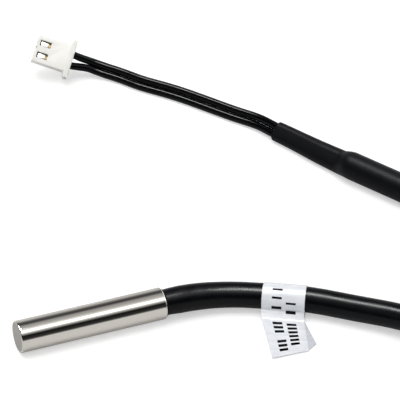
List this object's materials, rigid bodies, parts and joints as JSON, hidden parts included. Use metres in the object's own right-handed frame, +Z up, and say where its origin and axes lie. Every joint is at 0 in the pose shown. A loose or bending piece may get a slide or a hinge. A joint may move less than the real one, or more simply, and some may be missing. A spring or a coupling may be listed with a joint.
{
  "type": "temperature probe",
  "caption": "Polished steel capsule sensor on a black two-core cable, with a label flag, a heat-shrink sleeve and a white two-way crimp connector.",
  "frame": {"origin": "under the middle of the capsule, on the surface that it lies on", "axes": "+X along the capsule from its flat tip to its cable, +Z up"},
  "size_m": [0.1344, 0.1486, 0.0116],
  "materials": {
    "capsule_steel": "polished stainless steel, satin flat tip",
    "resin": "cured dark epoxy",
    "bead_coating": "dipped coating",
    "tinned_metal": "tinned copper",
    "tubing": "insulating tubing",
    "core_insulation": "glossy black insulation",
    "copper": "stranded copper",
    "seal": "black silicone",
    "cable_jacket": "semi-gloss black jacket",
    "tie": "black plastic tie",
    "label_film": "white film with a satin sheen",
    "heat_shrink": "matte black heat-shrink tubing",
    "brass": "brass strip, tinned on the lance",
    "nylon": "moulded white nylon"
  },
  "bodies": {
    "root": {"sensor_capsule": "capsule_steel", "potting_fill": "resin", "thermistor_bead": "bead_coating", "thermistor_lead_1": "tinned_metal", "thermistor_lead_2": "tinned_metal", "lead_sleeve_1": "tubing", "lead_sleeve_2": "tubing", "splice_ferrule_1": "tinned_metal", "splice_ferrule_2": "tinned_metal", "splice_sleeve_1": "tubing", "splice_sleeve_2": "tubing", "probe_core_1": "core_insulation", "probe_core_2": "core_insulation", "probe_conductor_1": "copper", "probe_conductor_2": "copper", "mouth_seal": "seal", "cable_run_probe": "cable_jacket", "cable_coil": "cable_jacket", "cable_run_connector": "cable_jacket", "coil_tie_1": "tie", "coil_tie_2": "tie", "cable_label": "label_film", "heat_shrink_sleeve": "heat_shrink", "lead_wire_1": "core_insulation", "lead_wire_2": "core_insulation", "lead_conductor_1": "copper", "lead_conductor_2": "copper", "crimp_contact_1": "brass", "crimp_contact_2": "brass", "connector_housing": "nylon"}
  },
  "joints": []
}
